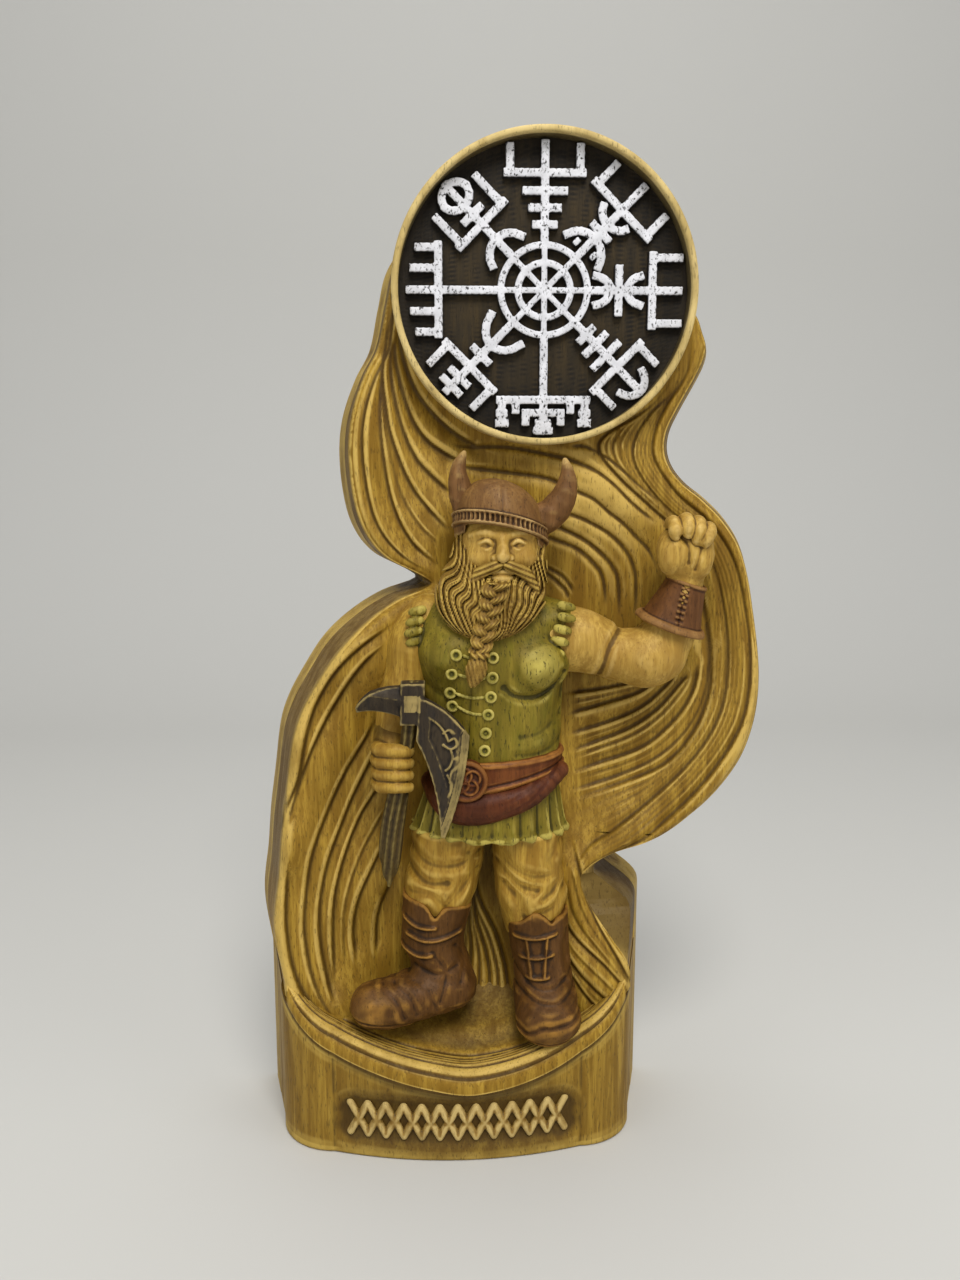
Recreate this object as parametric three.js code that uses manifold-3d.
// A carved wooden viking figure: a bearded axeman in high relief against a sweep of flame,
// under a round compass disc, on a D-shaped plinth.
// Millimetres, +Z up, +Y to the back. The viewer stands at -Y.
// Origin: centre of the footprint's bounding box, on the table.
import * as THREE from "three";
import { mergeVertices } from "three/addons/utils/BufferGeometryUtils.js";
import Module from "manifold-3d";

const wasm = await Module();
wasm.setup();

// Driving dimensions
const DEPTH = 35; // front of the plinth to the flat back
const GAP = 0.3; // glue line between two carved pieces
const BOARD_THICK = 8; // plank that carries the relief
const BACK = DEPTH / 2;
const FRONT = -DEPTH / 2;
const BOARD_FRONT = BACK - BOARD_THICK;
const BED = BOARD_FRONT - GAP; // plane that the relief pieces are glued on

const PLINTH = { x: -12.2, halfWidth: 38.2, corner: 12, bow: 4 };
const FIELD = { halfWidth: 25, low: 3, high: 13.4, depth: 1.6 }; // sunk field on the plinth's front
const SLANT = 0.25; // how far the side walls lean out for each millimetre of depth
const DISC = { x: 6, z: 179.3, radius: 30.7, rim: 1.4, clear: 1.1, front: -1.5, field: 3.4, stave: 1.7 };
const SHOULDER = { low: 48, high: 61 }; // where the plinth's sides run out into the flame's
const RIM = { height: 4.2, depth: 3.2, trough: 1.1, rise: 0.026 }; // lip of the bowl over the plinth
const GROOVE = { depth: 1.8, width: 1.6, crown: 0.8, reach: 3.4 }; // strands of the flame
const STROKE = 1.6; // width of the compass strokes
const HUB = { inner: 5.3, outer: 8.75 }; // rings at the middle of the compass
const REACH = DISC.radius - DISC.rim - DISC.clear; // length of the longest strokes
const ORNAMENT = { points: 13, half: 3.4, stroke: 1.3, inset: 2 }; // chain of lozenges in the field
const HEAD = { x: -3.1, y: -6.5, z: 128.5 };
const BUCKLE = { x: -9.4, z: 81.6, radius: 4.3, front: -15.2 };
const PLEATS = 16; // folds round the tunic's skirt
const LOCKS = 8; // locks round the beard
const LACING = { cord: 0.8, radius: 1.25, proud: 0.9 };

// Joins

// A closed geometry as a solid.
function solid(geometry) {
  const bare = geometry.index ? geometry.toNonIndexed() : geometry.clone();
  const points = new THREE.BufferGeometry().setAttribute("position", bare.getAttribute("position"));
  const merged = mergeVertices(points, 1e-3);
  return new wasm.Manifold(
    new wasm.Mesh({
      numProp: 3,
      vertProperties: merged.attributes.position.array,
      triVerts: new Uint32Array(merged.index.array),
    }),
  );
}

// A solid as a geometry that a mesh can hold.
function geometryOf(shape) {
  const { vertProperties, triVerts, numProp } = shape.getMesh();
  const flat = new Float32Array(triVerts.length * 3);
  triVerts.forEach((vertex, i) => {
    for (let axis = 0; axis < 3; axis++) flat[i * 3 + axis] = vertProperties[vertex * numProp + axis];
  });
  const geometry = new THREE.BufferGeometry();
  geometry.setAttribute("position", new THREE.BufferAttribute(flat, 3));
  geometry.computeVertexNormals();
  return geometry;
}

const joined = (shapes) => shapes.reduce((whole, shape) => whole.add(shape));

// A smooth function of one variable through [at, value] pairs, with at increasing.
function through(pairs) {
  const slope = pairs.map((pair, i) => {
    const before = pairs[Math.max(i - 1, 0)];
    const after = pairs[Math.min(i + 1, pairs.length - 1)];
    return (after[1] - before[1]) / (after[0] - before[0]);
  });
  return (at) => {
    let i = 0;
    while (i < pairs.length - 2 && at > pairs[i + 1][0]) i++;
    const span = pairs[i + 1][0] - pairs[i][0];
    const t = THREE.MathUtils.clamp((at - pairs[i][0]) / span, 0, 1);
    const rise = t * t * (3 - 2 * t);
    const lead = t * (1 - t) * (1 - t) * span;
    const trail = t * t * (t - 1) * span;
    return pairs[i][1] * (1 - rise) + pairs[i + 1][1] * rise + slope[i] * lead + slope[i + 1] * trail;
  };
}

// Triangles between two rows of vertex numbers, which may differ in count.
function zip(index, low, high) {
  let i = 0;
  let j = 0;
  while (i < low.length - 1 || j < high.length - 1) {
    const behind = i * (high.length - 1) <= j * (low.length - 1);
    const stepLow = j === high.length - 1 || (i < low.length - 1 && behind);
    if (stepLow) index.push(low[i], low[++i], high[j]);
    else index.push(low[i], high[j + 1], high[j++]);
  }
}

// A closed skin over rings of points, each ring going round anticlockwise seen from the end.
function loft(rings) {
  const points = rings.flat();
  const count = rings[0].length;
  const index = [];
  const ringStart = (r) => Array.from({ length: count + 1 }, (_, k) => r * count + (k % count));
  for (let r = 0; r < rings.length - 1; r++) zip(index, ringStart(r), ringStart(r + 1));
  const middle = (ring) => ring.reduce((sum, p) => sum.clone().add(p)).divideScalar(count);
  points.push(middle(rings[0]), middle(rings[rings.length - 1]));
  for (let k = 0; k < count; k++) {
    const next = (k + 1) % count;
    const last = (rings.length - 1) * count;
    index.push(points.length - 2, next, k, points.length - 1, last + k, last + next);
  }
  const geometry = new THREE.BufferGeometry().setFromPoints(points);
  geometry.setIndex(index);
  return solid(geometry);
}

// An ellipsoid at a point, grown by a margin all round.
function blob([x, y, z], [rx, ry, rz], grow = 0, around = 12, up = 8) {
  const ball = new THREE.SphereGeometry(1, around, up);
  ball.rotateX(Math.PI / 2);
  ball.scale(rx + grow, ry + grow, rz + grow);
  ball.translate(x, y, z);
  return solid(ball);
}

// A limb along stations [x, y, z, halfWidth, halfDepth], with round ends.
function limb(stations, grow = 0, around = 12) {
  const path = new THREE.CatmullRomCurve3(stations.map(([x, y, z]) => new THREE.Vector3(x, y, z)));
  const steps = (stations.length - 1) * (around > 8 ? 2 : 1);
  const size = (axis) => through(stations.map((s, i) => [i / (stations.length - 1), s[axis]]));
  const wide = size(3);
  const deep = size(4);
  const rings = [];
  const ring = (at, shrink, push) => {
    const centre = path.getPoint(at);
    const along = path.getTangent(at).normalize();
    const side = new THREE.Vector3(0, -1, 0).cross(along).normalize();
    const front = along.clone().cross(side);
    centre.addScaledVector(along, push);
    return Array.from({ length: around }, (_, k) => {
      const angle = (2 * Math.PI * k) / around;
      return centre
        .clone()
        .addScaledVector(side, Math.cos(angle) * (wide(at) + grow) * shrink)
        .addScaledVector(front, Math.sin(angle) * (deep(at) + grow) * shrink);
    });
  };
  const capStart = (Math.min(wide(0), deep(0)) + grow) * 0.7;
  const capEnd = (Math.min(wide(1), deep(1)) + grow) * 0.7;
  rings.push(ring(0, 0.6, -capStart));
  for (let i = 0; i <= steps; i++) rings.push(ring(i / steps, 1, 0));
  rings.push(ring(1, 0.6, capEnd));
  return loft(rings);
}

// A stack of level rings [z, centreX, centreY, halfWidth, halfDepth], with an optional ripple,
// and an optional lift of each point by its place in plan.
function stack(levels, grow = 0, around = 24, ripple = () => 0, lift = () => 0) {
  const sorted = [...levels].sort((a, b) => a[0] - b[0]);
  const at = (axis) => through(sorted.map((level) => [level[0], level[axis]]));
  const [cx, cy, rx, ry] = [1, 2, 3, 4].map(at);
  const low = sorted[0][0];
  const high = sorted[sorted.length - 1][0];
  const steps = Math.max(3, sorted.length - 1);
  const rings = Array.from({ length: steps + 1 }, (_, i) => {
    const z = low + ((high - low) * i) / steps;
    const end = i === 0 ? -grow : i === steps ? grow : 0;
    return Array.from({ length: around }, (_, k) => {
      const angle = (2 * Math.PI * k) / around;
      const swell = grow + ripple(angle, z);
      const x = cx(z) + Math.cos(angle) * (rx(z) + swell);
      const y = cy(z) + Math.sin(angle) * (ry(z) + swell);
      return new THREE.Vector3(x, y, z + end + lift(x, y));
    });
  });
  return loft(rings);
}

// A flat outline in X and Z, extruded from one depth to another.
function slab(outline, from, to, segments = 12) {
  const shape = outline instanceof THREE.Shape ? outline : new THREE.Shape(outline);
  const solidity = { depth: to - from, bevelEnabled: false, curveSegments: segments };
  const plate = new THREE.ExtrudeGeometry(shape, solidity);
  plate.rotateX(Math.PI / 2); // the outline now stands in X and Z, extruded towards the viewer
  plate.translate(0, to, 0);
  return solid(plate);
}

// A plain block between two sides, two heights and two depths.
function rectangle(left, right, low, high, from, to) {
  const corners = [[left, low], [right, low], [right, high], [left, high]];
  return slab(corners.map(([x, z]) => new THREE.Vector2(x, z)), from, to);
}

// A solid between two faces of one grid; face(u, v, side) gives a point, with side 0 or 1.
function block(columns, rows, face) {
  const points = [];
  const index = [];
  const grid = [0, 1].map((side) =>
    Array.from({ length: rows + 1 }, (_, r) =>
      Array.from({ length: columns + 1 }, (_, c) => points.push(face(c / columns, r / rows, side)) - 1),
    ),
  );
  const [near, far] = grid;
  for (let r = 0; r < rows; r++) {
    zip(index, near[r], near[r + 1]);
    zip(index, [...far[r]].reverse(), [...far[r + 1]].reverse());
    zip(index, [far[r][0], near[r][0]], [far[r + 1][0], near[r + 1][0]]);
    zip(index, [near[r][columns], far[r][columns]], [near[r + 1][columns], far[r + 1][columns]]);
  }
  zip(index, far[0], near[0]);
  zip(index, near[rows], far[rows]);
  const geometry = new THREE.BufferGeometry().setFromPoints(points);
  geometry.setIndex(index);
  return solid(geometry);
}

// A round bar along Y, as profile points [radius, y] from front to back.
function turned(profile, x, z, around = 20) {
  const body = new THREE.LatheGeometry(profile.map(([radius, y]) => new THREE.Vector2(radius, y)), around);
  body.translate(x, 0, z);
  return solid(body);
}

// Outlines of the flame, as x at a height z

const EDGE_LEFT = through([
  [19, -36], [25, -43.7], [30, -47.2], [36, -49], [47, -50.5], [59, -49.3], [70, -48.1],
  [87, -45.8], [94.5, -43.4], [101.6, -39.3], [108, -34.6], [113.4, -29], [117, -23.4],
  [119.6, -17], [121.4, -18.5], [125.4, -26.1], [131, -30.6], [138.4, -32.9], [147.6, -33.6],
  [155, -32.8], [162.6, -30.3], [168.5, -27.3], [177.3, -25.4], [185, -23.4], [193, -18],
]);
const EDGE_RIGHT = through([
  [19, 25.9], [34, 25.4], [39, 24.5], [43.4, 21.6], [48, 18.3], [51.4, 16.1], [55, 14.9],
  [58, 15.6], [61, 20], [65.7, 32.2], [70, 38.6], [75, 43.9], [81.3, 48.5], [88, 51.1],
  [95, 52.4], [102.5, 52.4], [114.4, 50.8], [121.8, 49.2], [128, 46.9], [133.3, 43.3],
  [137.4, 39.2], [140.5, 35.3], [144, 32.5], [147.6, 31.4], [151.6, 31.9], [155.6, 33.8],
  [164.6, 38.7], [168.5, 39.8], [171.5, 39], [175.4, 37.3], [178.4, 33.6], [181, 30],
]);

// Lines between neighbouring pieces of flame
const SEAM_MIDDLE = through([
  [19, -24], [40, -27], [60, -28], [80, -25], [100, -18], [112, -15.5], [120, -12.5],
  [136, -13], [143, -12.5], [150, -8],
]);
const SEAM_RIGHT = through([
  [30, 9], [55, 10.5], [66, 11.5], [80, 12.5], [101, 14], [104, 21], [108, 36], [112, 42],
  [122, 43.5], [130, 39], [137, 31], [143, 25], [149, 22],
]);

// Spot depths of the flame's surface, as [x, z, y]
const SPOTS = [
  [-33, 148, 2.5], [-28, 168, 4], [-24, 124, 1.5], [-20, 145, 4.5], [-12, 155, 6], [-5, 146, 6.5],
  [-22, 168, 6.5], [5, 145, 3.5], [20, 142, 3], [28, 152, 4], [36, 165, 4.5], [38, 173, 5],
  [35, 141, 2], [45, 128, 0], [52, 105, 0], [48, 85, -1], [40, 72, -2], [25, 62, -5], [17, 56, -7],
  [20, 45, -8], [25, 36, -8], [20, 125, 5], [25, 113, 5.5], [40, 108, 3.5], [30, 90, 4], [20, 80, 5],
  [14, 68, 3], [12, 50, 0], [-5, 120, 7], [-5, 90, 7], [-5, 60, 7], [-5, 40, 6], [-24, 115, -3],
  [-35, 106, -7], [-45, 88, -8], [-48, 68, -8], [-50, 50, -8], [-48, 33, -9], [-40, 24, -11],
  [-38, 88, -3], [-33, 70, 1], [-38, 52, -2], [-30, 44, 3], [-36, 34, 0], [-29, 90, 3], [-25, 30, 4],
];
const SPOT_SPREAD = 4.5;

// Grooves of the flame, from one end to the other, as [x, z]
const GROOVES = [
  [[-28, 166], [-31.2, 156], [-31.8, 147], [-30.8, 139], [-27, 130], [-20, 124]],
  [[-27, 168], [-28, 156], [-26.5, 146], [-22.8, 136], [-17, 126.5]],
  [[-26, 168], [-25.5, 158], [-22.4, 147], [-18, 139], [-14, 133]],
  [[-24.5, 166], [-22, 156], [-17.5, 148], [-13.5, 142]],
  [[37.5, 168], [28, 152], [27.4, 146], [40, 131], [50, 106], [43.5, 81], [20, 63], [14, 56]],
  [[34, 163], [24.4, 150.5], [23.8, 145], [36, 130], [46.5, 107], [38.5, 83.5], [16.5, 66]],
  [[13.5, 137], [21, 133], [29, 125.5], [31, 116]],
  [[11, 130], [17, 128], [23.5, 121.5], [25, 113]],
  [[38, 104], [30, 96], [20, 90.5], [12, 86]],
  [[44, 100], [36, 90], [24, 83], [12, 78]],
  [[-24, 114], [-36, 100], [-42, 86], [-44, 72], [-45.5, 56]],
  [[-26, 108], [-38, 84], [-41.5, 70], [-44, 52], [-43.5, 38], [-36, 28]],
  [[-30, 96], [-34.5, 82], [-37.5, 68], [-40, 52], [-39.5, 38]],
  [[-30, 88], [-32, 76], [-35, 62], [-36, 48], [-35, 38]],
  [[14, 56], [16, 50], [20, 43], [23.5, 37]],
];

// Each groove as a run of short straight steps.
const GROOVE_STEPS = GROOVES.map((groove) => {
  const line = new THREE.SplineCurve(groove.map(([x, z]) => new THREE.Vector2(x, z)));
  return line.getPoints(groove.length * 4);
});

function distanceToGroove(x, z) {
  let nearest = Infinity;
  for (const steps of GROOVE_STEPS) {
    for (let i = 0; i < steps.length - 1; i++) {
      const [dx, dz] = [steps[i + 1].x - steps[i].x, steps[i + 1].y - steps[i].y];
      const along = ((x - steps[i].x) * dx + (z - steps[i].y) * dz) / (dx * dx + dz * dz);
      const t = THREE.MathUtils.clamp(along, 0, 1);
      nearest = Math.min(nearest, Math.hypot(x - steps[i].x - t * dx, z - steps[i].y - t * dz));
    }
  }
  return nearest;
}

// Depth of the flame's surface: a smooth field through the spots, with or without the grooves.
function flameDepth(x, z, grooved = true) {
  let sum = 0;
  let weights = 0;
  for (const [sx, sz, y] of SPOTS) {
    const weight = 1 / ((x - sx) ** 2 + (z - sz) ** 2 + SPOT_SPREAD ** 2) ** 2;
    sum += weight * y;
    weights += weight;
  }
  if (!grooved) return sum / weights;
  const away = distanceToGroove(x, z);
  const cut = GROOVE.depth * Math.exp(-((away / GROOVE.width) ** 2));
  return sum / weights + cut - GROOVE.crown * Math.exp(-((away / GROOVE.reach - 1) ** 2));
}

// The sides are cut at a slant, so the piece widens towards the back.
const plinthSide = (y) => PLINTH.halfWidth + SLANT * (y - FRONT - PLINTH.bow - PLINTH.corner);
const lean = (x, y, z) => SLANT * (y - flameDepth(x, z, false));
// Between these heights the sides swell out to the plinth's own.
const footed = (z) => 1 - THREE.MathUtils.smoothstep(z, SHOULDER.low, SHOULDER.high);
const sideLeft = (y, z) => {
  const x = EDGE_LEFT(z) - lean(EDGE_LEFT(z), y, z);
  return x + Math.min(0, PLINTH.x - plinthSide(y) - x) * footed(z);
};
const sideRight = (y, z) => {
  const x = EDGE_RIGHT(z) + lean(EDGE_RIGHT(z), y, z);
  return x + Math.max(0, PLINTH.x + plinthSide(y) - x) * footed(z);
};
const bedLeft = (z) => sideLeft(BED, z);
const bedRight = (z) => sideRight(BED, z);

// Heights that every piece of flame shares for its rows, so that neighbours meet along one line.
const MEET = { tail: 66, arch: 101, crest: 120 };
function rungs(pitch) {
  const meets = Object.values(MEET);
  const even = Array.from({ length: Math.ceil(200 / pitch) }, (_, i) => i * pitch);
  const clear = even.filter((z) => meets.every((meet) => Math.abs(z - meet) > pitch * 0.3));
  return [...meets, ...clear].sort((a, b) => a - b);
}

// A piece of flame between two edges, standing on the bed, with a carved front.
function flame({ low, high, left, right, leftBack = left, rightBack = right, pitch, grooved = true }, grow = 0) {
  const inside = rungs(pitch).filter((z) => z > low + pitch * 0.3 && z < high - pitch * 0.3);
  const heights = [low, ...inside, high];
  const rows = heights.length - 1;
  const widest = Math.max(...heights.map((z) => right(z) - left(z)));
  const columns = Math.max(3, Math.round(widest / pitch));
  const points = [];
  const index = [];
  const put = (x, y, z) => points.push(new THREE.Vector3(x, y, z)) - 1;
  const outward = (i, last) => (i === 0 ? -grow : i === last ? grow : 0);
  const between = (a, b, c) => a + ((b - a) * c) / columns + outward(c, columns);
  const front = [];
  const back = [];
  heights.forEach((z, r) => {
    const end = outward(r, rows);
    front.push([]);
    back.push([]);
    for (let c = 0; c <= columns; c++) {
      const x = left(z) + ((right(z) - left(z)) * c) / columns;
      const y = Math.min(flameDepth(x, z, grooved), BED - 1.2) - grow;
      front[r].push(put(x + outward(c, columns), y, z + end));
      const onBorder = r === 0 || r === rows || c === 0 || c === columns;
      if (onBorder) back[r].push(put(between(leftBack(z), rightBack(z), c), BED, z + end));
    }
  });
  const last = (row) => row[row.length - 1];
  for (let r = 0; r < rows; r++) {
    zip(index, front[r], front[r + 1]);
    zip(index, [...back[r]].reverse(), [...back[r + 1]].reverse());
    zip(index, [back[r][0], front[r][0]], [back[r + 1][0], front[r + 1][0]]);
    zip(index, [last(front[r]), last(back[r])], [last(front[r + 1]), last(back[r + 1])]);
  }
  zip(index, back[0], front[0]);
  zip(index, front[rows], back[rows]);
  const geometry = new THREE.BufferGeometry().setFromPoints(points);
  geometry.setIndex(index);
  return solid(geometry);
}

const shifted = (edge, by) => (z) => edge(z) + by;
const HALF = GAP / 2;
const PITCH = 3.6;

const FLAMES = {
  flame_crest: {
    low: MEET.crest + HALF, high: 184, left: EDGE_LEFT, leftBack: bedLeft, right: shifted(SEAM_MIDDLE, -HALF),
    pitch: PITCH,
  },
  flame_arch: {
    low: MEET.arch + HALF, high: 150, left: shifted(SEAM_MIDDLE, HALF), right: shifted(SEAM_RIGHT, -HALF),
    pitch: PITCH,
  },
  flame_sweep: {
    low: MEET.tail + HALF, high: 176, left: shifted(SEAM_RIGHT, HALF), right: EDGE_RIGHT, rightBack: bedRight,
    pitch: PITCH,
  },
  flame_tail: {
    low: 22, high: MEET.tail - HALF, left: shifted(SEAM_RIGHT, HALF), right: EDGE_RIGHT, rightBack: bedRight,
    pitch: PITCH,
  },
  flame_wing: {
    low: 20, high: MEET.crest - HALF, left: EDGE_LEFT, leftBack: bedLeft, right: shifted(SEAM_MIDDLE, -HALF),
    pitch: PITCH,
  },
  flame_hearth: {
    low: 20, high: MEET.arch - HALF, left: shifted(SEAM_MIDDLE, HALF), right: shifted(SEAM_RIGHT, -HALF),
    pitch: 2 * PITCH, grooved: false,
  },
};

// Plinth and bowl

// The plinth's front in plan: a shallow bow with round corners.
function planFront(x) {
  const away = Math.abs(x - PLINTH.x);
  const straight = PLINTH.halfWidth - PLINTH.corner;
  if (away <= straight) return FRONT + PLINTH.bow * (away / straight) ** 2;
  const turn = Math.min((away - straight) / PLINTH.corner, 1);
  return FRONT + PLINTH.bow + PLINTH.corner * (1 - Math.sqrt(1 - turn * turn));
}

// The plan from one side to the other: t runs from 0 to 1 along the front.
const frontAt = (t) => {
  const x = PLINTH.x - PLINTH.halfWidth * Math.cos(Math.PI * t);
  return [x, planFront(x)];
};

// The line between the plinth and the bowl that the figure stands in, as z at x.
const lipShare = through([
  [-1.04, 35], [-0.86, 27.6], [-0.7, 23.2], [-0.43, 19], [-0.15, 16.2],
  [0.11, 15], [0.51, 18.8], [0.84, 26.5], [1.03, 35],
]);
const lipLine = (x) => lipShare((x - PLINTH.x) / PLINTH.halfWidth);

// The bowl's floor above that line: a rounded rim, a trough behind it, then a rise to the flame.
function floorRise(inward) {
  const round = RIM.height * Math.sqrt(Math.max(0, 1 - (1 - Math.min(inward / RIM.depth, 1)) ** 2));
  const behind = Math.max(inward - RIM.depth, 0);
  return round - RIM.trough * Math.sin(Math.min(behind / 3, Math.PI)) ** 2 + RIM.rise * behind ** 2;
}

function bowlForm(grow = 0) {
  return block(16, 6, (u, v, side) => {
    const [start, front] = frontAt(0.13 + 0.74 * u);
    const inward = (BED - front) * v ** 1.6;
    const y = front + inward;
    const wider = Math.max(0, plinthSide(y) - PLINTH.halfWidth) * Math.abs(2 * u - 1);
    const x = start + Math.sign(start - PLINTH.x) * wider;
    const z = lipLine(x) + GAP + (side === 0 ? floorRise(inward) + 0.6 + grow : 0);
    return new THREE.Vector3(x, y, z);
  });
}

function underLip(top) {
  const reach = PLINTH.halfWidth * 1.18;
  const line = Array.from({ length: 31 }, (_, i) => {
    const x = reach * (1 - i / 15) + PLINTH.x;
    return new THREE.Vector2(x, lipLine(x) + top);
  });
  const [first, last] = [line[0], line[line.length - 1]];
  const wide = 3 * reach;
  const corners = [[-wide, -5], [wide, -5], [wide, first.y]].map(([x, z]) => new THREE.Vector2(x, z));
  return slab([...corners, ...line, new THREE.Vector2(-wide, last.y)], FRONT - 5, BACK + 5);
}

function plinthForm() {
  const high = 46;
  const count = 32;
  const plan = Array.from({ length: count + 1 }, (_, i) => frontAt(i / count));
  plan.push([PLINTH.x + plinthSide(BED), BED], [PLINTH.x - plinthSide(BED), BED]);
  const shape = new THREE.Shape(plan.map(([x, y]) => new THREE.Vector2(x, -y)));
  const prism = new THREE.ExtrudeGeometry(shape, { depth: high, bevelEnabled: false });
  prism.rotateX(Math.PI);
  prism.translate(0, 0, high);
  return solid(prism);
}

// Compass disc: strokes in each stave's own axes, u out from the hub and v to its left

const PATTERN = 28.2; // length that the strokes below are laid out for
const UNIT = REACH / PATTERN; // the compass follows the disc's radius

// A flat stroke of even width along [x, z] points.
function stroke(points, from, to, width = STROKE) {
  const path = points.map(([x, z]) => new THREE.Vector2(x, z));
  const side = (way) =>
    path.map((point, i) => {
      const before = point.clone().sub(path[Math.max(i - 1, 0)]).normalize();
      const after = path[Math.min(i + 1, path.length - 1)].clone().sub(point).normalize();
      const heading = before.add(after).normalize();
      return point.clone().add(new THREE.Vector2(-heading.y, heading.x).multiplyScalar((way * width) / 2));
    });
  return slab([...side(-1), ...side(1).reverse()], from, to);
}

const bar = (u0, u1) => [[u0, 0], [u1, 0]];
const cross = (u, half) => [[u, -half], [u, half]];
const tine = (u0, u1, v) => [[u0, v], [u1, v]];
// A curved stroke whose middle is at u and whose ends are at uEnd and ±half.
const bowed = (u, uEnd, half) =>
  [-1, -0.7, -0.35, 0, 0.35, 0.7, 1].map((t) => [u + (uEnd - u) * (1 - Math.sqrt(1 - 0.96 * t * t)) * 1.25, half * t]);
const fork = (u, tip, half) => [tine(u, tip, -half), tine(u, tip, half)];
const trident = (u, half, tip) => [cross(u, half), ...fork(u, tip, half - STROKE / 2)];

const START = HUB.outer + STROKE / 2 + GAP / UNIT;
const STAVES = {
  stave_n: {
    turn: 90,
    strokes: [bar(START, PATTERN), ...trident(22.4, 7.8, 27.6), cross(19, 4.1), cross(15.8, 2.9), cross(12.6, 2.1)],
  },
  stave_ne: {
    turn: 45,
    strokes: [
      bar(START, PATTERN), ...trident(21.8, 7.8, 27.2), bowed(17.8, 20, 3.3), cross(15.6, 2.4), bowed(10.6, 12.6, 4.6),
    ],
  },
  stave_e: {
    turn: 0,
    strokes: [
      bar(START, 27.6), ...trident(21.7, 7.6, 27.4), bowed(13.4, 10.2, 4.3), cross(15.9, 4.4), bowed(18, 20, 4.4),
    ],
  },
  stave_se: {
    turn: -45,
    strokes: [
      bar(START, PATTERN), ...trident(21.2, 6.9, 26.4), cross(12.2, 1.9), cross(14.9, 2.9), cross(18, 3.5),
      bowed(PATTERN, 25.2, 3.2),
    ],
  },
  stave_s: {
    turn: -90,
    strokes: [
      bar(START, PATTERN), cross(21.6, 9.2), ...fork(21.6, 27, 8.4), ...fork(21.6, 25, 5), cross(24.4, 3),
      cross(26.9, 1.9),
    ],
  },
  stave_sw: {
    turn: -135,
    strokes: [
      bar(START, PATTERN), ...trident(21.2, 7, 26.6), bowed(15.2, 10.6, 4.3), cross(18, 2.2), cross(24.2, 2.4),
      cross(26.6, 2.4),
    ],
  },
  stave_w: {
    turn: 180,
    strokes: [bar(START, 27.4), cross(21.3, 9), ...fork(21.3, 25.6, 8.2), ...fork(21.3, 26.6, 4.2)],
  },
  stave_nw: {
    turn: 135,
    strokes: [
      bar(START, PATTERN), ...trident(17.8, 6.4, 25.2), bowed(13.8, 10.4, 4.2), cross(20.4, 2.3), bowed(22.6, 25, 3),
      bowed(27.8, 25.4, 3),
    ],
  },
};

function stave({ turn, strokes }) {
  const angle = THREE.MathUtils.degToRad(turn);
  const place = ([u, v]) => [
    DISC.x + UNIT * (u * Math.cos(angle) - v * Math.sin(angle)),
    DISC.z + UNIT * (u * Math.sin(angle) + v * Math.cos(angle)),
  ];
  return joined(strokes.map((points) => stroke(points.map(place), DISC.stave, DISC.field - GAP, STROKE * UNIT)));
}

// A flat ring around the disc's axis.
function ring(inner, outer, from, to, around = 24) {
  const rim = new THREE.Shape().absarc(DISC.x, DISC.z, outer, 0, 2 * Math.PI);
  rim.holes.push(new THREE.Path().absarc(DISC.x, DISC.z, inner, 0, 2 * Math.PI, true));
  return slab(rim, from, to, around);
}

function disc(radius, from, to, around = 24) {
  return slab(new THREE.Shape().absarc(DISC.x, DISC.z, radius, 0, 2 * Math.PI), from, to, around);
}

function hub() {
  const flat = [DISC.stave, DISC.field - GAP];
  const spokes = Array.from({ length: 4 }, (_, i) => {
    const angle = (i * Math.PI) / 4;
    const [dx, dz] = [Math.cos(angle), Math.sin(angle)].map((part) => part * HUB.outer * UNIT);
    return stroke([[DISC.x - dx, DISC.z - dz], [DISC.x + dx, DISC.z + dz]], ...flat, STROKE * 0.8 * UNIT);
  });
  const half = STROKE / 2;
  const rings = [HUB.inner, HUB.outer].map((r) => ring((r - half) * UNIT, (r + half) * UNIT, ...flat, 8));
  return joined([...rings, ...spokes]);
}

// Figure: each form takes a margin to grow by, so that what lies over a piece can be cut from it

const TORSO = [
  [77, -4.2, -2, 12, 8], [86, -3.6, -2.2, 13.2, 10.4], [95, -4.2, -2, 14.2, 10.6], [104, -5.2, -2, 16, 11.4],
  [111, -5.6, -1.6, 16.8, 11], [116, -5.6, -1, 14.6, 9], [119, -5, -1, 9, 6],
];
const BUTTONS = {
  left: [[-11.4, 107], [-11.8, 102.8], [-11.6, 98.6], [-12.4, 95.4]],
  right: [[-3, 106.4], [-3.2, 102.2], [-3, 98.4], [-3.6, 94.6], [-4.2, 91], [-4.6, 87.8]],
};

// Opening of the beard for the face.
const face = (grow) => blob([HEAD.x, HEAD.y - 7.4, 128.8], [4.6, 4, 4.4], grow, 10, 6);

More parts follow.
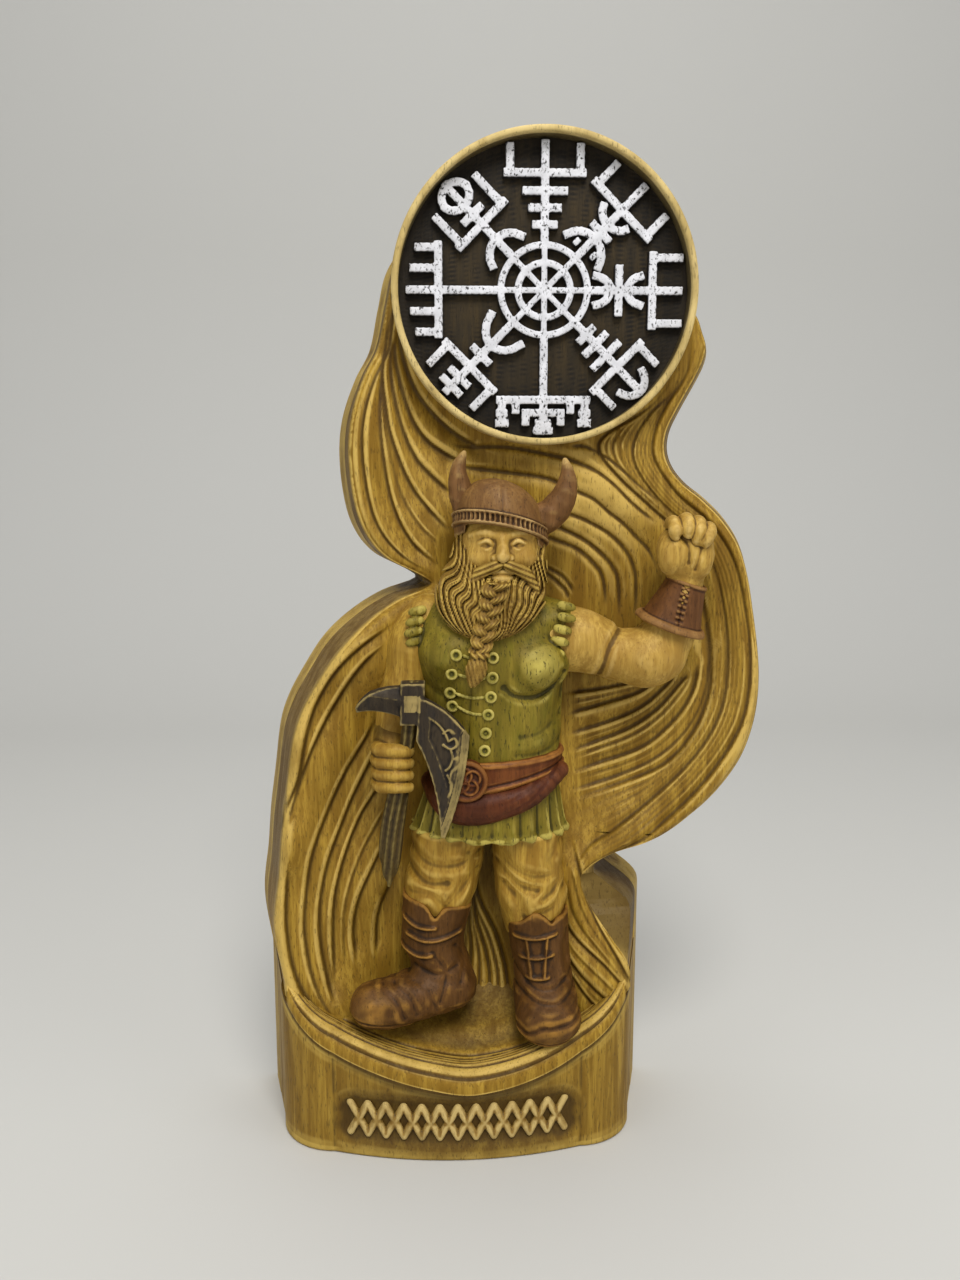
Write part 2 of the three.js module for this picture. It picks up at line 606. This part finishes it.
const FIGURE = {
  head: {
    under: ["helmet", "beard", "tunic_torso"],
    form: (grow) => joined([
      blob([HEAD.x, HEAD.y, HEAD.z], [8.1, 7.6, 10], grow, 12, 8),
      limb([[HEAD.x, HEAD.y - 7, 132, 1, 1.2], [HEAD.x, HEAD.y - 8.6, 128.4, 1.7, 1.8]], grow, 8),
      ...[-1, 1].flatMap((side) => [
        blob([HEAD.x + side * 4.1, HEAD.y - 5.4, 126.6], [3, 2.6, 2.7], grow, 8, 6),
        limb([
          [HEAD.x + side * 5.6, HEAD.y - 5.6, 132.4, 0.8, 1], [HEAD.x + side * 1.6, HEAD.y - 6.7, 131.8, 0.9, 1.2],
        ], grow, 6),
      ]),
    ]),
  },
  helmet: {
    under: [],
    form: (grow) => {
      const tilt = (x, y) => -0.19 * (x - HEAD.x) - 0.26 * (y - HEAD.y);
      const cap = [
        [130.4, -2.6, -5.6, 9.4, 9.2], [134.4, -2.5, -5.4, 9.2, 9], [138.4, -2.6, -5.2, 7.6, 7.4],
        [141.2, -2.7, -5, 4.6, 4.4], [142.6, -2.7, -5, 1, 1],
      ];
      const band = [[130.2, -2.6, -5.7, 9.8, 9.7], [133.2, -2.6, -5.6, 9.9, 9.7]];
      return joined([cap, band].map((levels) => stack(levels, grow, 18, () => 0, tilt)));
    },
  },
  horn_right: {
    under: ["helmet"],
    form: (grow) => limb([
      [-8.4, -7, 136, 2.4, 2.4], [-11.2, -7.2, 139.4, 2, 2], [-11.7, -7.2, 143.4, 1.4, 1.4], [-10.4, -7.2, 146.8, 0.5, 0.5],
    ], grow, 10),
  },
  horn_left: {
    under: ["helmet"],
    form: (grow) => limb([
      [3.8, -7, 134.2, 2.4, 2.4], [7.6, -7.2, 135.8, 2.1, 2.1], [9.7, -7.2, 139.6, 1.5, 1.5], [8.2, -7.2, 144.4, 0.5, 0.5],
    ], grow, 10),
  },
  beard: {
    under: ["helmet", "braid"],
    form: (grow) => joined([
      stack([
        [109.8, -5.8, -11.2, 2.6, 2.6], [112, -5.8, -10.6, 6.8, 4.8], [117, -5.4, -9.8, 10.4, 6],
        [122, -4.6, -9, 10.4, 6.4], [126, -3.6, -7.6, 9, 6.4], [128.4, -3.2, -6.4, 8.4, 5.4],
      ], grow, 3 * LOCKS, (angle) => 0.4 * Math.cos(LOCKS * angle)).subtract(face(-grow)),
      limb([
        [-9.4, -13.9, 121.8, 0.8, 0.9], [-6, -15.3, 124, 1.3, 1.3], [HEAD.x, -15.7, 125, 1.2, 1.2],
        [-0.4, -15.3, 124, 1.3, 1.3], [3, -13.9, 121.8, 0.8, 0.9],
      ], grow, 8),
    ]),
  },
  braid: {
    under: [],
    form: (grow) => joined([
      ...[0, 1, 2, 3, 4].map((i) => {
        const across = -3.8 - i * 0.75 + (i % 2 ? -0.7 : 0.7);
        return blob([across, -15.6 + i * 0.12, 121.6 - i * 2.7], [2.1, 1.7, 2.1], grow, 8, 5);
      }),
      blob([-7.5, -15.3, 108.1], [2.3, 1.8, 1.6], grow, 8, 5),
      limb([[-7.9, -15.2, 107, 1.9, 1.6], [-8.6, -15.2, 104.4, 2.1, 1.6], [-9.2, -15.2, 102.6, 0.9, 0.9]], grow, 8),
    ]),
  },
  tunic_torso: {
    under: ["beard", "braid", "belt"],
    form: (grow) => joined([
      stack(TORSO, grow, 16),
      blob([-12.2, -6.4, 107.2], [7.6, 7.4, 6.4], grow, 12, 6),
      blob([3.2, -6.2, 104.4], [8, 7.8, 7], grow, 12, 6),
    ]),
  },
  tunic_skirt: {
    under: ["tunic_torso", "belt"],
    form: (grow) => {
      const levels = [[67.6, -5.4, -2, 17.4, 11.4], [72, -5, -2, 16, 11.2], [80, -4.2, -2, 13.6, 10.6]];
      return stack(levels, grow, 3 * PLEATS, (angle, z) => (80 - z) * 0.06 * Math.cos(PLEATS * angle));
    },
  },
  belt: {
    under: [],
    form: (grow) => {
      const rise = (x) => 0.15 * (x + 7);
      const outer = [[79.2, -4, -2.1, 14, 11.3], [81.8, -3.8, -2.1, 14.4, 11.7], [84.6, -3.6, -2.2, 13.9, 11.3]];
      const inner = [[74, -4, -2.1, 12.4 + GAP, 8.8], [90, -3.6, -2.2, 12.4 + GAP, 8.8]];
      return stack(outer, grow, 18, () => 0, rise)
        .subtract(stack(inner, GAP - grow, 18))
        .intersect(rectangle(-30, 30, 66, 94, -20, 4));
    },
  },
  sash: {
    under: ["belt", "buckle", "tunic_skirt", "tunic_torso"],
    form: (grow) => limb([
      [-17.4, -4, 79.8, 1.8, 3], [-13.2, -10.8, 76.6, 3, 3], [-5.4, -12.4, 74.4, 4.2, 2.4],
      [3.2, -11.6, 77.2, 3.4, 3], [9.2, -6.5, 82.2, 1.6, 3],
    ], grow, 10),
  },
  buckle: {
    under: ["belt", "tunic_torso", "tunic_skirt", "axe_head"],
    form: (grow) => {
      const { x, z, front } = BUCKLE;
      const radius = BUCKLE.radius + grow;
      const dish = [
        [0, front + 0.7 - grow], [radius - 1, front + 0.7 - grow], [radius - 0.8, front - grow],
        [radius - 0.1, front + 0.1 - grow], [radius, front + 0.8], [radius, -11.6 + grow], [0, -11.6 + grow],
      ];
      const twist = [[-2.6, -0.6], [-0.9, 1.5], [0.9, -1.5], [2.6, 0.6]];
      const cords = [
        twist.map(([u, v]) => [x + u, z + v]),
        twist.map(([u, v]) => [x + v, z + u]),
      ].map((points, i) => stroke(points, front + 0.1 + 0.2 * i - grow, -10, 0.9 + 2 * grow));
      return joined([turned(dish, x, z, 14), ...cords]);
    },
  },
  tunic_lacing: {
    under: ["braid", "beard", "belt"],
    form: () => {
      const [from, to] = [FRONT - 2, -6];
      const line = (points) => stroke(points, from, to, LACING.cord);
      const { left, right } = BUTTONS;
      const { radius } = LACING;
      const profile = [[0, from], [radius, from], [radius, to], [0, to]];
      const rings = [...left, ...right].map(([x, z]) => turned(profile, x, z, 6));
      const flat = joined([...rings, line(left), line(right), ...[2, 3].map((i) => line([left[i], right[i]]))]);
      const { form } = FIGURE.tunic_torso;
      return flat.intersect(form(GAP + LACING.proud)).subtract(form(GAP));
    },
  },
  arm_raised: {
    under: ["tunic_torso", "bracer", "fist_raised"],
    form: (grow) => joined([
      limb([
        [9, -2, 109.4, 7.4, 7], [15, -2, 108, 7.6, 7.4], [21, -1.8, 106, 6.4, 7], [27, -2.2, 105.2, 6, 6.6],
      ], grow, 12),
      blob([27.4, -3.8, 105.4], [8, 7, 6.4], grow, 12, 6),
      limb([[29.4, -3.4, 104.8, 5.8, 6], [32.2, -4, 109, 5.4, 5.6], [33.8, -4.6, 114, 4, 4.4]], grow, 12),
    ]),
  },
  bracer: {
    under: ["fist_raised"],
    form: (grow) => {
      const hem = [[20, 95], [50, 95], [50, 106.6 - grow], [20, 113.8 - grow]];
      const cuff = [[32, -4.4, 111.4, 6.6, 6.4], [33.4, -4.7, 115.6, 5.2, 5.4], [34.6, -5, 120, 4.1, 4.4]];
      return limb(cuff, grow, 14).subtract(slab(hem.map(([x, z]) => new THREE.Vector2(x, z)), -20, 20));
    },
  },
  fist_raised: {
    under: [],
    form: (grow) => joined([
      blob([34.4, -5.2, 127.4], [5.8, 5.6, 5.4], grow, 10, 6),
      blob([31.2, -8, 126.8], [2.8, 3.4, 4.2], grow, 8, 6),
      limb([[34.5, -5, 121.4, 3.6, 4], [34.4, -5, 125, 4.4, 4.6]], grow, 12),
      ...[0, 1, 2, 3].map((i) => limb([
        [31 + i * 2.4, -6.4, 133.2 - i * 0.3, 1.4, 1.6], [31 + i * 2.4, -9.8, 132.8 - i * 0.3, 1.4, 1.5],
        [31 + i * 2.3, -10.6, 130.6 - i * 0.3, 1.3, 1.4],
      ], grow, 6)),
    ]),
  },
  arm_lowered: {
    under: ["tunic_torso", "axe_head", "axe_haft", "fist_lowered"],
    form: (grow) => joined([
      limb([
        [-18.4, -1.6, 113.6, 5.4, 6], [-20.6, -1.8, 108.6, 6, 6.6], [-22, -2, 102, 5.2, 6.4],
        [-23.6, -3, 95, 4.8, 5.8], [-25, -5, 88, 4, 5],
      ], grow, 14),
    ]),
  },
  fist_lowered: {
    under: ["axe_haft", "axe_head"],
    form: (grow) => joined([
      blob([-24.8, -8.2, 84.2], [4.4, 5.4, 5.4], grow, 10, 6),
      blob([-25.2, -10.8, 84.2], [4, 3.2, 5.2], grow, 8, 6),
      ...[0, 1, 2, 3].map((i) => limb([
        [-28.8, -8.4, 88 - i * 2.5, 1.4, 1.5], [-25.4, -13, 88.2 - i * 2.55, 1.5, 1.6],
        [-21.8, -11.6, 87.6 - i * 2.4, 1.4, 1.5],
      ], grow, 6)),
    ]),
  },
  axe_haft: {
    under: ["axe_head", "tunic_skirt", "tunic_torso", "leg_right"],
    form: (grow) => limb([
      [-20.6, -13.4, 97, 1.7, 1.7], [-23, -10.4, 82, 1.7, 1.8], [-24.8, -9, 71, 2.4, 1.9],
      [-25.8, -8, 64, 2.2, 1.7], [-26.2, -7.4, 59, 0.7, 0.8],
    ], grow, 10),
  },
  axe_head: {
    under: ["tunic_torso", "belt", "sash", "tunic_skirt", "braid"],
    form: (grow) => {
      const blade = new THREE.Shape();
      blade.moveTo(-20 - grow, 101 + grow);
      blade.quadraticCurveTo(-14, 98 + grow, -9.6 + grow, 91.8 + grow);
      blade.quadraticCurveTo(-10.4 + grow, 81, -14.6 + grow, 70.6 - grow);
      blade.lineTo(-15.6 - grow, 70.8 - grow);
      blade.quadraticCurveTo(-16.8 - grow, 84, -20 - grow, 93);
      const spike = new THREE.Shape();
      spike.moveTo(-21 + grow, 101.6 + grow);
      spike.quadraticCurveTo(-28, 103.6 + grow, -32 - grow, 97.2);
      spike.quadraticCurveTo(-28, 99 - grow, -21 + grow, 96.8 - grow);
      return joined([
        slab(blade, -17.2 - grow, -14.8 + grow, 8),
        slab(spike, -16.4 - grow, -13 + grow, 8),
        limb([[-20.8, -14.4, 100.6, 2.6, 2.5], [-21.2, -14.4, 95, 2.6, 2.4]], grow, 8),
      ]);
    },
  },
  leg_right: {
    under: ["tunic_skirt", "boot_right"],
    form: (grow) =>
      stack([[47, -16.8, -1.6, 6.6, 6.8], [54, -15.4, -1.8, 7.6, 8], [67, -13.8, -1.8, 8.2, 9]], grow, 18),
  },
  leg_left: {
    under: ["tunic_skirt", "boot_left"],
    form: (grow) =>
      stack([[45, 4.8, -1.6, 6.2, 6.8], [52, 4, -1.8, 7.4, 8], [67, 2.6, -1.8, 7.8, 9]], grow, 18),
  },
  boot_right: {
    under: [],
    form: (grow) => joined([
      stack([
        [33, -14.6, -3.4, 6, 6.8], [38, -15.6, -3.2, 6.4, 7], [43, -17.2, -2.8, 6.7, 7.2],
        [48, -16.8, -2.4, 7.2, 8], [53.4, -15.8, -2.2, 7.8, 8.6],
      ], grow, 16),
      limb([
        [-13, -4.6, 34, 5.4, 6], [-20, -6.6, 33.6, 5.6, 6.4], [-27, -8.6, 31.6, 5.2, 5.8], [-30.6, -9.8, 30.8, 4.2, 4.8],
      ], grow, 12),
    ]),
  },
  boot_left: {
    under: [],
    form: (grow) => joined([
      stack([
        [32, 6, -5.2, 6.4, 7.4], [37, 5.6, -4.2, 6.3, 7.2], [42, 5.4, -3.2, 6.4, 7.2], [50.8, 4.6, -2.4, 7.3, 8.4],
      ], grow, 16),
      blob([7, -10, 28.6], [7, 7, 6.2], grow, 10, 6),
      blob([6.6, -6, 31], [6.8, 8.6, 6.6], grow, 10, 6),
    ]),
  },
};

// Assembly

const group = new THREE.Group();
function add(name, shape, material) {
  const mesh = new THREE.Mesh(geometryOf(shape), material.clone());
  mesh.name = name;
  group.add(mesh);
}
const finish = (colour) => new THREE.MeshStandardMaterial({ color: colour, roughness: 0.6 });
const WOOD = finish(0xa5813f);
const STAIN = {
  dark: finish(0x2b2018), white: finish(0xd8d6d2), brown: finish(0x5b3a22), green: finish(0x6a6a24),
  wine: finish(0x5a2018), skin: finish(0xb8914e), iron: finish(0x35322c),
};

const discHole = disc(DISC.radius + GAP, FRONT - 5, BED + 1, 24);
const lip = underLip(GAP);
const bowl = bowlForm();

const flames = Object.fromEntries(
  Object.entries(FLAMES).map(([name, spec]) => [name, flame(spec).subtract(discHole).subtract(lip)]),
);
const flamesGrown = joined(Object.values(FLAMES).map((spec) => flame(spec, GAP)));
const behind = rectangle(-80, 80, -5, 220, BED - GAP, BACK + 10);
const seat = flamesGrown.add(bowlForm(GAP)).add(behind);
for (const [name, shape] of Object.entries(flames)) add(name, shape, WOOD);
add("ground_bowl", bowl.subtract(flamesGrown), WOOD);

const BOARD_TOP = 192;
const board = block(1, 44, (u, v, side) => {
  const y = side === 0 ? BOARD_FRONT : BACK;
  const z = v * BOARD_TOP;
  return new THREE.Vector3(u === 0 ? sideLeft(y, z) : sideRight(y, z), y, z);
});
add("back_board", board.add(disc(DISC.radius, BOARD_FRONT, BACK)), WOOD);

const band = (front, back) => block(10, 1, (u, v, side) => {
  const x = PLINTH.x + FIELD.halfWidth * (2 * u - 1);
  return new THREE.Vector3(x, planFront(x) + (side === 0 ? front : back), FIELD.low + (FIELD.high - FIELD.low) * v);
});
add("plinth", plinthForm().intersect(underLip(0)).subtract(band(-3, FIELD.depth)), WOOD);

const middle = (FIELD.low + FIELD.high) / 2;
const wave = (way) => Array.from({ length: ORNAMENT.points }, (_, i) => [
  PLINTH.x + ((2 * i) / (ORNAMENT.points - 1) - 1) * (FIELD.halfWidth - ORNAMENT.inset),
  middle + (i % 2 ? way * ORNAMENT.half : 0),
]);
const strokes = [wave(1), wave(-1)].map((points) => stroke(points, FRONT - 2, FRONT + 8, ORNAMENT.stroke));
add("plinth_ornament", joined(strokes).intersect(band(0.2, FIELD.depth - GAP)), WOOD);

add("disc_field", disc(DISC.radius - DISC.rim - GAP, DISC.field, BED, 20), STAIN.dark);
add("disc_rim", ring(DISC.radius - DISC.rim, DISC.radius, DISC.front, BED), WOOD);
add("stave_hub", hub(), STAIN.white);
for (const [name, spec] of Object.entries(STAVES)) add(name, stave(spec), STAIN.white);

const STAINS = {
  head: STAIN.skin, helmet: STAIN.brown, horn_right: STAIN.brown, horn_left: STAIN.brown, beard: WOOD, braid: WOOD,
  tunic_torso: STAIN.green, tunic_skirt: STAIN.green, tunic_lacing: STAIN.green, belt: STAIN.wine, sash: STAIN.wine,
  buckle: STAIN.wine, bracer: STAIN.brown, axe_haft: STAIN.iron, axe_head: STAIN.iron, boot_right: STAIN.brown,
  boot_left: STAIN.brown,
};
for (const [name, { under, form }] of Object.entries(FIGURE)) {
  let shape = form(0).subtract(seat);
  for (const cover of under) shape = shape.subtract(FIGURE[cover].form(GAP));
  add(name, shape, STAINS[name] ?? STAIN.skin);
}

export default group;
